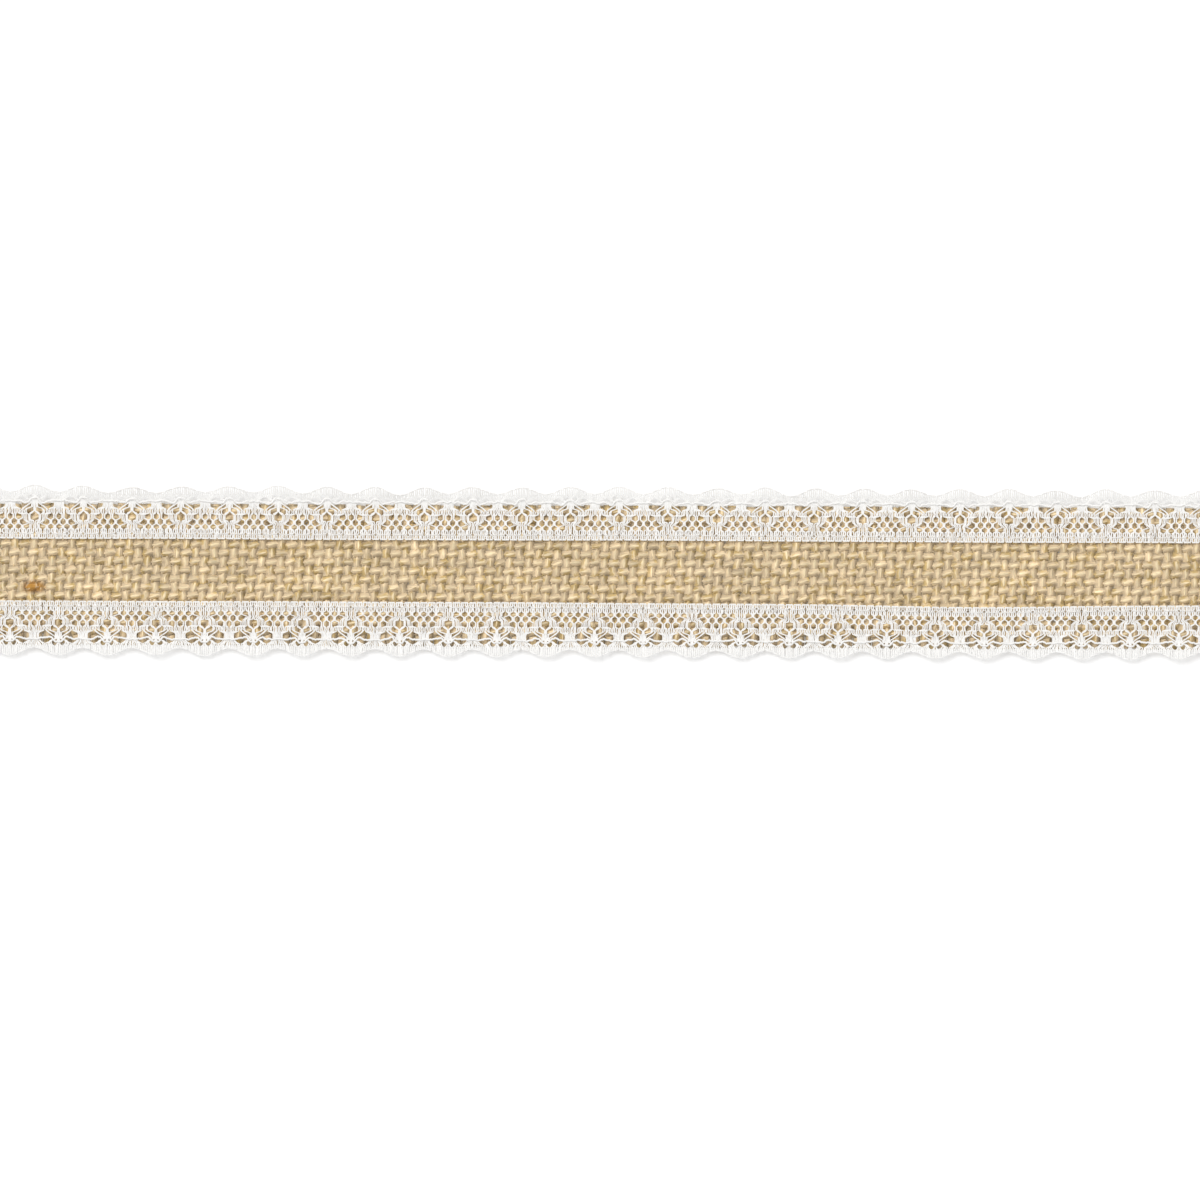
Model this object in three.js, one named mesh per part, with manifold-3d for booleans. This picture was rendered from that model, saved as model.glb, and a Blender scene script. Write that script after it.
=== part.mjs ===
// A narrow table runner: a band of open, plain-woven burlap with a scalloped lace trim
// lockstitched on top along each long edge. The lace overhangs the burlap, the two cut ends
// are left raw with short yarn fringes, and the runner lies flat.
//
// Millimetres. +X runs along the runner, +Y across it towards the back edge, and +Z is up.
// The origin is under the middle of the band, on the surface that the runner lies on.

import * as THREE from 'three';
import { mergeVertices } from 'three/addons/utils/BufferGeometryUtils.js';
import Module from 'manifold-3d';

const wasm = await Module();
wasm.setup();

// Overall sizes.
const runnerLength = 914;       // tip to tip of the end fringes
const runnerWidth = 50;         // over the scallop peaks of both laces

// Burlap band.
const bandWidth = 40;
const bandThickness = 1.5;      // two flattened yarns where they cross
const fringeLength = 11;        // bare lengthwise yarns past the last crosswise yarn
const yarnPitch = 2.5;          // lengthwise yarn to lengthwise yarn
const cutEdge = 1.25;           // crosswise yarn ends past the outermost lengthwise yarns
const fringeYarnWidth = 1.8;

// Lace trims.
const laceWidth = 16;           // heading edge to scallop peak
const laceThickness = 0.5;
const laceRepeat = 14.16;       // one scallop
const scallopDepth = 2.2;       // peak to trough
const scallopSteps = 6;         // straight facets in one scallop

// Gimp: the thicker outline thread that waves along the lace between its baskets and its fans.
const gimpInset = 2.6;          // scallop trough to the gimp's middle
const gimpSway = 0.3;
const gimpWidth = 0.55;
const gimpHeight = 0.4;
const gimpSteps = 4;

// Lockstitch along each lace heading.
const stitchInset = 1.55;       // heading edge to the row of stitches
const stitchesPerRepeat = 3;
const stitchEndInset = 1;       // trimmed thread end to the end of the cloth
const threadWidth = 0.45;
const threadHeight = 0.3;
const threadDip = 0.12;         // thickness left showing where the thread enters a needle hole
const threadClearance = 0.3;
const bobbinLift = 0.1;         // bobbin thread's underside above the surface

// Worked out from the sizes above.
const clothLength = runnerLength - 2 * fringeLength;
const lengthwiseYarns = Math.floor((bandWidth - 2 * cutEdge) / yarnPitch);
const headingEdge = runnerWidth / 2 - laceWidth;
const stitchLine = headingEdge + stitchInset;
const stitchPitch = laceRepeat / stitchesPerRepeat;
const stitchRunLength = clothLength - 2 * stitchEndInset;
const laceBottom = bandThickness;
const laceTop = laceBottom + laceThickness;
const grooveDepth = bobbinLift + threadHeight;
const grooveWidth = threadWidth + 2 * threadClearance;

// Materials.
const jute = new THREE.MeshStandardMaterial({ color: 0xcdb58e, roughness: 0.95, metalness: 0 });
const cotton = new THREE.MeshStandardMaterial({ color: 0xf7f2ec, roughness: 0.85, metalness: 0 });
const gimpCotton = new THREE.MeshStandardMaterial({ color: 0xfffaf2, roughness: 0.75, metalness: 0 });
const sewingThread = new THREE.MeshStandardMaterial({ color: 0xf4efe6, roughness: 0.6, metalness: 0 });

// A closed mesh as a solid that can be joined or cut.
function toSolid(geometry) {
  const bare = geometry.clone();
  bare.deleteAttribute('normal');
  bare.deleteAttribute('uv');
  const merged = mergeVertices(bare);
  const mesh = new wasm.Mesh({
    numProp: 3,
    vertProperties: new Float32Array(merged.attributes.position.array),
    triVerts: new Uint32Array(merged.index.array),
  });
  return new wasm.Manifold(mesh);
}

function toGeometry(solid) {
  const mesh = solid.getMesh();
  const geometry = new THREE.BufferGeometry();
  geometry.setAttribute('position', new THREE.BufferAttribute(mesh.vertProperties, mesh.numProp));
  geometry.setIndex(new THREE.BufferAttribute(mesh.triVerts, 1));
  geometry.computeVertexNormals();
  return geometry;
}

function flatSolid(points, depth) {
  return new THREE.ExtrudeGeometry(new THREE.Shape(points), { depth, bevelEnabled: false });
}

function named(name, geometry, material) {
  const mesh = new THREE.Mesh(geometry, material);
  mesh.name = name;
  return mesh;
}

// Burlap band: the cloth's outline with a tail for each lengthwise yarn at both ends.
function bandOutline() {
  const end = [];
  for (let yarn = 0; yarn < lengthwiseYarns; yarn += 1) {
    const middle = (yarn - (lengthwiseYarns - 1) / 2) * yarnPitch;
    const low = middle - fringeYarnWidth / 2;
    const high = middle + fringeYarnWidth / 2;
    end.push([clothLength / 2, low], [runnerLength / 2, low]);
    end.push([runnerLength / 2, high], [clothLength / 2, high]);
  }
  const halfOutline = [[clothLength / 2, -bandWidth / 2], ...end, [clothLength / 2, bandWidth / 2]];
  const outline = halfOutline.map(([x, y]) => new THREE.Vector2(x, y));
  const otherHalf = halfOutline.map(([x, y]) => new THREE.Vector2(-x, -y));
  return [...outline, ...otherHalf];
}

// Each row of stitches sinks its bobbin thread into the underside of the soft weave.
function bobbinGroove(side) {
  const groove = new THREE.BoxGeometry(stitchRunLength + 2 * threadClearance, grooveWidth, 2 * grooveDepth);
  groove.translate(0, side * stitchLine, 0);
  return toSolid(groove);
}

function burlapBand() {
  let band = toSolid(flatSolid(bandOutline(), bandThickness));
  for (const side of [-1, 1]) {
    band = band.subtract(bobbinGroove(side));
  }
  return named('burlap_band', toGeometry(band), jute);
}

// Distance from the heading edge to the scalloped edge. A peak stands at x = phase repeats.
function scallopReach(x, phase) {
  const wave = Math.cos(2 * Math.PI * (x / laceRepeat - phase));
  return laceWidth - (scallopDepth * (1 - wave)) / 2;
}

function gimpReach(x, phase) {
  const wave = Math.cos(2 * Math.PI * (x / laceRepeat - phase));
  return laceWidth - scallopDepth - gimpInset + gimpSway * wave;
}

// Stations along the cloth at a fixed share of the repeat, with the cut ends added.
function stations(length, step) {
  const places = [-length / 2];
  const last = Math.floor((length / 2 - step / 4) / step);
  for (let index = -last; index <= last; index += 1) {
    places.push(index * step);
  }
  places.push(length / 2);
  return places;
}

// Turns an outline drawn outwards from the heading edge to the front or the back of the runner.
function placeOnSide(mesh, side, bottom) {
  mesh.rotation.z = side < 0 ? Math.PI : 0;
  mesh.position.set(0, side * headingEdge, bottom);
  return mesh;
}

function laceTrim(name, side, phase) {
  const edge = stations(clothLength, laceRepeat / scallopSteps);
  const outline = [
    new THREE.Vector2(-clothLength / 2, 0),
    new THREE.Vector2(clothLength / 2, 0),
    ...edge.reverse().map((x) => new THREE.Vector2(x, scallopReach(x, phase))),
  ];
  return placeOnSide(named(name, flatSolid(outline, laceThickness), cotton), side, laceBottom);
}

function laceGimp(name, side, phase) {
  const route = stations(clothLength, laceRepeat / gimpSteps);
  const inner = route.map((x) => new THREE.Vector2(x, gimpReach(x, phase) - gimpWidth / 2));
  const outer = route.map((x) => new THREE.Vector2(x, gimpReach(x, phase) + gimpWidth / 2));
  const outline = [...inner, ...outer.reverse()];
  return placeOnSide(named(name, flatSolid(outline, gimpHeight), gimpCotton), side, laceTop);
}

// The needle thread lies on the lace: a hump for each stitch, low where it enters a needle hole.
function needleThreadOutline() {
  const ridge = stations(stitchRunLength, stitchPitch / 2).map((x) => {
    const atHole = Math.abs(x / stitchPitch - Math.round(x / stitchPitch)) < 0.25;
    return new THREE.Vector2(x, atHole ? threadDip : threadHeight);
  });
  const start = new THREE.Vector2(-stitchRunLength / 2, 0);
  const end = new THREE.Vector2(stitchRunLength / 2, 0);
  return [start, end, ...ridge.reverse()];
}

function needleThread(name, side) {
  const mesh = named(name, flatSolid(needleThreadOutline(), threadWidth), sewingThread);
  mesh.rotation.x = Math.PI / 2;
  mesh.position.set(0, side * stitchLine + threadWidth / 2, laceTop);
  return mesh;
}

// The bobbin thread is pulled nearly straight, against the top of its groove.
function bobbinThread(name, side) {
  const strip = new THREE.BoxGeometry(stitchRunLength, threadWidth, threadHeight);
  const mesh = named(name, strip, sewingThread);
  mesh.position.set(0, side * stitchLine, grooveDepth - threadHeight / 2);
  return mesh;
}

const runner = new THREE.Group();
runner.add(burlapBand());
for (const [edge, side, phase] of [['front', -1, 0], ['back', 1, 0.5]]) {
  runner.add(laceTrim(`lace_trim_${edge}`, side, phase));
  runner.add(laceGimp(`lace_gimp_${edge}`, side, phase));
  runner.add(needleThread(`needle_thread_${edge}`, side));
  runner.add(bobbinThread(`bobbin_thread_${edge}`, side));
}

export default runner;
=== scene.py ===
import math
import random

import bmesh
import bpy
from bpy.props import FloatProperty, FloatVectorProperty, IntProperty, PointerProperty
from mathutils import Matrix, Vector, noise


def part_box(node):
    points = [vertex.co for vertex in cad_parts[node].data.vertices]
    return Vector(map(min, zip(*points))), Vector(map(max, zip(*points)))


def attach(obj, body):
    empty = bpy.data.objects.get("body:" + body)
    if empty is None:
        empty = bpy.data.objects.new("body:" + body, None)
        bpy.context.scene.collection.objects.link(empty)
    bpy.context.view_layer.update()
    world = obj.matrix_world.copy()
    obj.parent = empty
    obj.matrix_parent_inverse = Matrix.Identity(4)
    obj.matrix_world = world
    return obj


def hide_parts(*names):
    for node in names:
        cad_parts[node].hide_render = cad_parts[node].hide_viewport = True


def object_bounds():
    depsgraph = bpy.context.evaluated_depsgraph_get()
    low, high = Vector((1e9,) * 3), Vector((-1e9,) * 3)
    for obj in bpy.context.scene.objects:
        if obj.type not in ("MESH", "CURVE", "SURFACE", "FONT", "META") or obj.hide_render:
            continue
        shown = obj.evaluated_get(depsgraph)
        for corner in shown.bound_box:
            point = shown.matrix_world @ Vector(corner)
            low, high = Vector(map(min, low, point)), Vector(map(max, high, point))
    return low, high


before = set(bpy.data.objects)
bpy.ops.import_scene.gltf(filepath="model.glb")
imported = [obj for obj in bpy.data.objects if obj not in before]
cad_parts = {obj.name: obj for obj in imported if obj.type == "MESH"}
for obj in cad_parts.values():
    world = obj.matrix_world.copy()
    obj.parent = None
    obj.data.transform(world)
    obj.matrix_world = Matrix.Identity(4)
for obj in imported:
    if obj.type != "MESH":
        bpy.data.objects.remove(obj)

bl_info = {
    "name": "Lace-edged burlap table runner",
    "version": (1, 0, 0),
    "blender": (4, 5, 0),
    "location": "View3D > Sidebar > Runner",
    "description": "Weaves a narrow burlap band and sews a scalloped lace along each edge",
    "category": "Object",
}

MM = 0.001

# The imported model's box, before any piece is added, and the places that the cloth takes from it.
CAD_LOW, CAD_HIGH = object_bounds()
BAND_LOW, BAND_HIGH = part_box("burlap_band")
LACE_LOW, LACE_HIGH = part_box("lace_trim_back")
GIMP_LOW, GIMP_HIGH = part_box("lace_gimp_back")
NEEDLE_LOW, NEEDLE_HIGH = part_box("needle_thread_back")

MID_PLANE = (BAND_LOW.z + BAND_HIGH.z) / 2
CLOTH_END = LACE_HIGH.x
RUNNER_END = BAND_HIGH.x
BAND_EDGE = BAND_HIGH.y
HEADING_EDGE = LACE_LOW.y
LACE_WIDTH = LACE_HIGH.y - LACE_LOW.y
LACE_SEAT = LACE_LOW.z
GIMP_REACH = (GIMP_LOW.y + GIMP_HIGH.y) / 2 - HEADING_EDGE
STITCH_REACH = (NEEDLE_LOW.y + NEEDLE_HIGH.y) / 2 - HEADING_EDGE
STITCH_END = NEEDLE_HIGH.x

FRONT, BACK = -1, 1
SIDES = {"front": FRONT, "back": BACK}


class RunnerSizes(bpy.types.PropertyGroup):
    """Sizes of the weave, the lace and the stitches."""

    lengthwise_pitch: FloatProperty(
        name="Lengthwise yarn pitch",
        description="Distance between neighbouring lengthwise yarns",
        default=2.5 * MM, unit="LENGTH", subtype="DISTANCE")
    crosswise_pitch: FloatProperty(
        name="Crosswise yarn pitch",
        description="Distance between neighbouring crosswise yarns",
        default=2.77 * MM, unit="LENGTH", subtype="DISTANCE")
    lengthwise_yarns: IntProperty(
        name="Lengthwise yarns",
        description="Number of yarns that run the length of the runner",
        default=15)
    yarn_half_width: FloatProperty(
        name="Yarn half width",
        description="Half the width of a flattened yarn, with its thin flanks",
        default=1.38 * MM, unit="LENGTH", subtype="DISTANCE")
    yarn_half_height: FloatProperty(
        name="Yarn half height",
        description="Half the thickness of a flattened yarn at its crown",
        default=0.34 * MM, unit="LENGTH", subtype="DISTANCE")
    lean: FloatProperty(
        name="Crosswise lean",
        description="How far a crosswise yarn runs along the runner for each unit across it",
        default=0.058)
    lace_repeat: FloatProperty(
        name="Lace repeat",
        description="Length of one scallop of the lace",
        default=14.16 * MM, unit="LENGTH", subtype="DISTANCE")
    scallop_depth: FloatProperty(
        name="Scallop depth",
        description="Peak to trough of the lace's outer edge",
        default=2.2 * MM, unit="LENGTH", subtype="DISTANCE")
    lace_thread: FloatProperty(
        name="Lace thread half width",
        description="Half the width of a lace thread where it lies open",
        default=0.22 * MM, unit="LENGTH", subtype="DISTANCE")
    gimp_radius: FloatProperty(
        name="Gimp radius",
        description="Radius of the thicker thread that outlines the lace's fans",
        default=0.29 * MM, unit="LENGTH", subtype="DISTANCE")
    sewing_thread: FloatProperty(
        name="Sewing thread radius",
        description="Radius of the needle and bobbin threads",
        default=0.12 * MM, unit="LENGTH", subtype="DISTANCE")


class RunnerColours(bpy.types.PropertyGroup):
    """Colours of the cloth, in linear light."""

    # Painted highlight: the crown colour is lighter than the flank colour, so that the float tops read as
    # lit.
    jute_crown_painted_highlight: FloatVectorProperty(
        name="Jute crown", description="Colour on top of a yarn's float",
        default=(0.91, 0.745, 0.475), subtype="COLOR", size=3)
    # Painted shade: the flank colour is darker than the crown colour, so that the sunken flanks read as
    # shaded.
    jute_flank_painted_shade: FloatVectorProperty(
        name="Jute flank", description="Colour of a yarn's thin flanks",
        default=(0.82, 0.65, 0.425), subtype="COLOR", size=3)
    jute_gold: FloatVectorProperty(
        name="Jute gold", description="Colour of the golden blotches on the flanks",
        default=(0.67, 0.49, 0.22), subtype="COLOR", size=3)
    jute_slub: FloatVectorProperty(
        name="Jute slub", description="Colour of the bark left in a slub",
        default=(0.48, 0.24, 0.05), subtype="COLOR", size=3)
    lace_white: FloatVectorProperty(
        name="Lace white", description="Colour of the lace's cotton",
        default=(0.96, 0.95, 0.93), subtype="COLOR", size=3)
    thread_white: FloatVectorProperty(
        name="Sewing thread white", description="Colour of the sewing thread",
        default=(0.94, 0.92, 0.89), subtype="COLOR", size=3)


# Threads and yarns

def section(name, points):
    """A closed outline that a yarn keeps along its route."""
    outline = bpy.data.curves.new(name, "CURVE")
    outline.dimensions = "2D"
    ring = outline.splines.new("POLY")
    ring.points.add(len(points) - 1)
    for point, (across, up) in zip(ring.points, points):
        point.co = (across, up, 0, 1)
    ring.use_cyclic_u = True
    shape = bpy.data.objects.new(name, outline)
    bpy.context.collection.objects.link(shape)
    return shape


def round_section(name, radius, sides=4):
    """A round thread's outline."""
    turn = 2 * math.pi / sides
    return section(name, [
        (radius * math.cos(side * turn), radius * math.sin(side * turn)) for side in range(sides)])


# A flattened yarn's outline, as shares of its half width and half height.
YARN_RIDGE = 0.16      # half the width of its crown's level top
YARN_KNEE = 0.33       # where the crown meets the flank
YARN_SHOULDER = 0.12   # the knee's height


def flattened_section(name, half_width, half_height):
    """A jute yarn's outline: a narrow high crown between thin flanks."""
    ridge, knee = YARN_RIDGE * half_width, YARN_KNEE * half_width
    shoulder = YARN_SHOULDER * half_height
    upper = [
        (half_width, 0), (knee, shoulder), (ridge, half_height),
        (-ridge, half_height), (-knee, shoulder)]
    lower = [(-across, -up) for across, up in upper]
    return section(name, upper + lower)


def sweep(name, routes, outline, material, shades=None, settle=None):
    """Runs an outline along each route, a list of (x, y, z, scale), and keeps one mesh of them all.
    settle, if given, moves a wall point from its place and its route's place."""
    curve = bpy.data.curves.new(name, "CURVE")
    curve.dimensions = "3D"
    curve.twist_mode = "Z_UP"
    curve.bevel_mode = "OBJECT"
    curve.bevel_object = outline
    for route in routes:
        spline = curve.splines.new("POLY")
        spline.points.add(len(route) - 1)
        spline.points.foreach_set("co", [c for x, y, z, _ in route for c in (x, y, z, 1.0)])
        spline.points.foreach_set("radius", [scale for _, _, _, scale in route])
    rig = bpy.data.objects.new(name + "_route", curve)
    bpy.context.collection.objects.link(rig)
    swept = rig.evaluated_get(bpy.context.evaluated_depsgraph_get())
    mesh = bpy.data.meshes.new_from_object(swept)
    bpy.data.objects.remove(rig)
    bpy.data.curves.remove(curve)
    mesh.name = name
    mesh.materials.clear()
    mesh.materials.append(material)
    sides = len(outline.data.splines[0].points)
    places = [place for route in routes for place in route]
    if len(mesh.vertices) != sides * len(places):
        raise RuntimeError(f"{name}: {len(mesh.vertices)} points round {len(places)} places")
    point_shades(mesh, routes, sides, shades or [0.5] * len(routes))
    if settle:
        for number, vertex in enumerate(mesh.vertices):
            vertex.co = settle(vertex.co, places[number // sides])
    close_ends(mesh)
    mesh.shade_smooth()
    piece = bpy.data.objects.new(name, mesh)
    bpy.context.collection.objects.link(piece)
    return piece


def point_shades(mesh, routes, sides, shades):
    """Gives every point its own thread's shade, from 0 to 1, for the material to read. A route's
    shade is one number, or a list with one for each of its places."""
    values = []
    for route, own in zip(routes, shades):
        by_place = own if isinstance(own, list) else [own] * len(route)
        values += [value for value in by_place for _ in range(sides)]
    shade = mesh.attributes.new("shade", "FLOAT", "POINT")
    shade.data.foreach_set("value", values)


def close_ends(mesh):
    """Fills the two open ends of every tube, and turns all faces outwards."""
    shell = bmesh.new()
    shell.from_mesh(mesh)
    rims = [edge for edge in shell.edges if edge.is_boundary]
    bmesh.ops.holes_fill(shell, edges=rims, sides=0)
    bmesh.ops.recalc_face_normals(shell, faces=shell.faces)
    shell.to_mesh(mesh)
    shell.free()


def seat(piece, slot, *nodes):
    """Ties a finished piece to the runner's one body, and hides the solids that it stands for."""
    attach(piece, "root")
    if nodes:
        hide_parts(*nodes)
    return piece


# The ways that yarns and threads stray: a first seed, the length of one swing, and its size. The
# swing is in metres where the place is, and a swell or a curl is a share.
DRIFTS = {
    "lengthwise swell": (0, 6 * MM, 0.2),
    "lengthwise float swell": (30, 1.1 * MM, 0.7),
    "lengthwise wander": (50, 12 * MM, 0.2 * MM),
    "lengthwise float shift": (70, 1.3 * MM, 0.3 * MM),
    "lengthwise float tilt": (400, 1.2 * MM, 0.3 * MM),
    "tail cut": (90, 1, 2.4 * MM),
    "tail sway": (120, 1, 1.1 * MM),
    "crosswise swell": (200, 7 * MM, 0.2),
    "crosswise float swell": (900, 1.1 * MM, 0.9),
    "crosswise wander": (600, 10 * MM, 0.2 * MM),
    "crosswise float tilt": (1300, 1.2 * MM, 0.5 * MM),
    "crosswise float bow": (1700, 1.2 * MM, 0.45 * MM),
    "crosswise cut": (7, 1, 0.8 * MM),
    "front lace meander": (3, 50 * MM, 0.2 * MM),
    "back lace meander": (4, 60 * MM, 0.28 * MM),
    "front lace curl": (11, 11 * MM, 1.0),
    "back lace curl": (12, 9 * MM, 1.0),
    "lace thread swell": (20, 1, 0.4),
    "lace thread shift": (23, 1, 0.5),
    "lace thread level": (31, 1, 0.05 * MM),
    "lace thread shade": (33, 1, 0.9),
    "gimp ripple": (61, 1, 0.5),
}
SEED_SPACING, SEED_PLANE = 17.3, 5.1


def drift(kind, place, number=0):
    """How far something has strayed at a place, the same on every run. The number tells one yarn or
    end from another."""
    seed, swing, size = DRIFTS[kind]
    return size * noise.noise(Vector((place / swing, SEED_SPACING * (seed + number), SEED_PLANE)))


# Materials

def new_material(name):
    material = bpy.data.materials.new(name)
    material.use_nodes = True
    nodes = material.node_tree.nodes
    shader = nodes["Principled BSDF"]
    return material, nodes, material.node_tree.links, shader


def spun_fibre_group():
    """Fine fibres along a yarn: dark and light streaks, and the ridges that they make."""
    group = bpy.data.node_groups.get("Spun fibre")
    if group:
        return group
    group = bpy.data.node_groups.new("Spun fibre", "ShaderNodeTree")
    for socket, kind, default in (
            ("Vector", "NodeSocketVector", None), ("Colour", "NodeSocketColor", (0.8, 0.8, 0.8, 1)),
            ("Streak depth", "NodeSocketFloat", 0.2), ("Patch depth", "NodeSocketFloat", 0.1)):
        made = group.interface.new_socket(name=socket, in_out="INPUT", socket_type=kind)
        if default is not None:
            made.default_value = default
    group.interface.new_socket(name="Colour", in_out="OUTPUT", socket_type="NodeSocketColor")
    group.interface.new_socket(name="Height", in_out="OUTPUT", socket_type="NodeSocketFloat")
    nodes, links = group.nodes, group.links
    entry, leave = nodes.new("NodeGroupInput"), nodes.new("NodeGroupOutput")

    streaks = nodes.new("ShaderNodeTexNoise")
    streaks.inputs["Scale"].default_value = 1.0
    streaks.inputs["Detail"].default_value = 3.0
    links.new(entry.outputs["Vector"], streaks.inputs["Vector"])

    patches = nodes.new("ShaderNodeTexNoise")
    patches.inputs["Scale"].default_value = 0.13
    patches.inputs["Detail"].default_value = 2.0
    links.new(entry.outputs["Vector"], patches.inputs["Vector"])

    streak_shade = shade_about_one(
        nodes, links, streaks.outputs["Fac"], entry.outputs["Streak depth"])
    patch_shade = shade_about_one(
        nodes, links, patches.outputs["Fac"], entry.outputs["Patch depth"])
    both = nodes.new("ShaderNodeMath")
    both.operation = "MULTIPLY"
    links.new(streak_shade, both.inputs[0])
    links.new(patch_shade, both.inputs[1])

    tinted = nodes.new("ShaderNodeVectorMath")
    tinted.operation = "SCALE"
    links.new(entry.outputs["Colour"], tinted.inputs[0])
    links.new(both.outputs["Value"], tinted.inputs["Scale"])
    links.new(tinted.outputs["Vector"], leave.inputs["Colour"])
    links.new(streaks.outputs["Fac"], leave.inputs["Height"])
    return group


def shade_about_one(nodes, links, amount, depth):
    """A shade that swings about 1, from 1 + depth where there is little of a noise to 1 - depth."""
    swing = nodes.new("ShaderNodeMapRange")
    swing.inputs["From Min"].default_value = 0.25
    swing.inputs["From Max"].default_value = 0.75
    swing.inputs["To Min"].default_value = 1.0
    swing.inputs["To Max"].default_value = -1.0
    links.new(amount, swing.inputs["Value"])
    scaled = nodes.new("ShaderNodeMath")
    scaled.operation = "MULTIPLY_ADD"
    scaled.inputs[2].default_value = 1.0
    links.new(swing.outputs["Result"], scaled.inputs[0])
    links.new(depth, scaled.inputs[1])
    return scaled.outputs["Value"]


def spun_fibre(nodes, streak_depth, patch_depth):
    """The spun fibre group, placed in a material."""
    fibre = nodes.new("ShaderNodeGroup")
    fibre.node_tree = spun_fibre_group()
    fibre.inputs["Streak depth"].default_value = streak_depth
    fibre.inputs["Patch depth"].default_value = patch_depth
    return fibre


def own_shade(nodes, links, colour, darkest, lightest):
    """A colour made darker or lighter by each thread's own shade."""
    own = nodes.new("ShaderNodeAttribute")
    own.attribute_name = "shade"
    own_range = nodes.new("ShaderNodeMapRange")
    own_range.inputs["To Min"].default_value = darkest
    own_range.inputs["To Max"].default_value = lightest
    links.new(own.outputs["Fac"], own_range.inputs["Value"])
    tinted = nodes.new("ShaderNodeVectorMath")
    tinted.operation = "SCALE"
    links.new(colour, tinted.inputs[0])
    links.new(own_range.outputs["Result"], tinted.inputs["Scale"])
    return tinted.outputs["Vector"]


def raise_fibres(nodes, links, fibre, shader, strength, depth):
    """Fine ridges along the fibres."""
    ridges = nodes.new("ShaderNodeBump")
    ridges.inputs["Strength"].default_value = strength
    ridges.inputs["Distance"].default_value = depth
    links.new(fibre.outputs["Height"], ridges.inputs["Height"])
    links.new(ridges.outputs["Normal"], shader.inputs["Normal"])


def fibre_coordinates(nodes, links, along, per_metre_along, per_metre_across, slant):
    """Object coordinates, drawn out along the X or the Y axis and turned by a slant."""
    place = nodes.new("ShaderNodeTexCoord")
    stretch = nodes.new("ShaderNodeMapping")
    stretch.vector_type = "POINT"
    stretch.inputs["Rotation"].default_value = (0, 0, slant)
    scale = [per_metre_across] * 3
    scale[along] = per_metre_along
    stretch.inputs["Scale"].default_value = scale
    links.new(place.outputs["Object"], stretch.inputs["Vector"])
    return stretch.outputs["Vector"]


def painted_crown_highlight_mask(nodes, links):
    """0 at the middle of the cloth's thickness and 1 on the tops of the floats, on both faces. It paints
    the float tops lighter than the sunken flanks: a painted highlight on the crowns and painted shade in
    the recesses.
    """
    place = nodes.new("ShaderNodeTexCoord")
    split = nodes.new("ShaderNodeSeparateXYZ")
    links.new(place.outputs["Object"], split.inputs["Vector"])
    above = nodes.new("ShaderNodeMath")
    above.operation = "SUBTRACT"
    above.inputs[1].default_value = MID_PLANE
    links.new(split.outputs["Z"], above.inputs[0])
    away = nodes.new("ShaderNodeMath")
    away.operation = "ABSOLUTE"
    links.new(above.outputs["Value"], away.inputs[0])
    mask = nodes.new("ShaderNodeMapRange")
    mask.interpolation_type = "SMOOTHSTEP"
    mask.inputs["From Min"].default_value = 0.32 * MM
    mask.inputs["From Max"].default_value = 0.60 * MM
    links.new(away.outputs["Value"], mask.inputs["Value"])
    return mask.outputs["Result"]


def patches_of(nodes, links, per_metre, lowest, highest, seed):
    """Soft blotches of a given grain: 0 over most of the cloth, rising to 1."""
    place = nodes.new("ShaderNodeTexCoord")
    shift = nodes.new("ShaderNodeMapping")
    shift.inputs["Location"].default_value = (seed, 2 * seed, 0)
    links.new(place.outputs["Object"], shift.inputs["Vector"])
    blotch = nodes.new("ShaderNodeTexNoise")
    blotch.inputs["Scale"].default_value = per_metre
    blotch.inputs["Detail"].default_value = 2.0
    links.new(shift.outputs["Vector"], blotch.inputs["Vector"])
    ramp = nodes.new("ShaderNodeMapRange")
    ramp.interpolation_type = "SMOOTHSTEP"
    ramp.inputs["From Min"].default_value = lowest
    ramp.inputs["From Max"].default_value = highest
    links.new(blotch.outputs["Fac"], ramp.inputs["Value"])
    return ramp.outputs["Result"]


def blend_colours(nodes, links, amount, first, second):
    """A mix of two colours, each a plain colour or another node's output."""
    mixed = nodes.new("ShaderNodeMix")
    mixed.data_type = "RGBA"
    links.new(amount, mixed.inputs["Factor"])
    for socket, colour in ((mixed.inputs[6], first), (mixed.inputs[7], second)):
        if isinstance(colour, bpy.types.NodeSocket):
            links.new(colour, socket)
        else:
            socket.default_value = (*colour, 1)
    return mixed.outputs[2]


def slub_mask(nodes, links):
    """1 on the knot of bark that is left in one yarn, fading out along it."""
    place = nodes.new("ShaderNodeTexCoord")
    near = nodes.new("ShaderNodeMapping")
    near.vector_type = "POINT"
    reach = (1 / SLUB_LENGTH, 1 / SLUB_WIDTH)
    near.inputs["Location"].default_value = (-SLUB_PLACE.x * reach[0], -SLUB_PLACE.y * reach[1], 0)
    near.inputs["Scale"].default_value = (*reach, 0)
    links.new(place.outputs["Object"], near.inputs["Vector"])
    ball = nodes.new("ShaderNodeTexGradient")
    ball.gradient_type = "SPHERICAL"
    links.new(near.outputs["Vector"], ball.inputs["Vector"])
    firm = nodes.new("ShaderNodeMapRange")
    firm.interpolation_type = "SMOOTHSTEP"
    firm.inputs["From Max"].default_value = 0.6
    links.new(ball.outputs["Fac"], firm.inputs["Value"])
    return firm.outputs["Result"]


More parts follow.
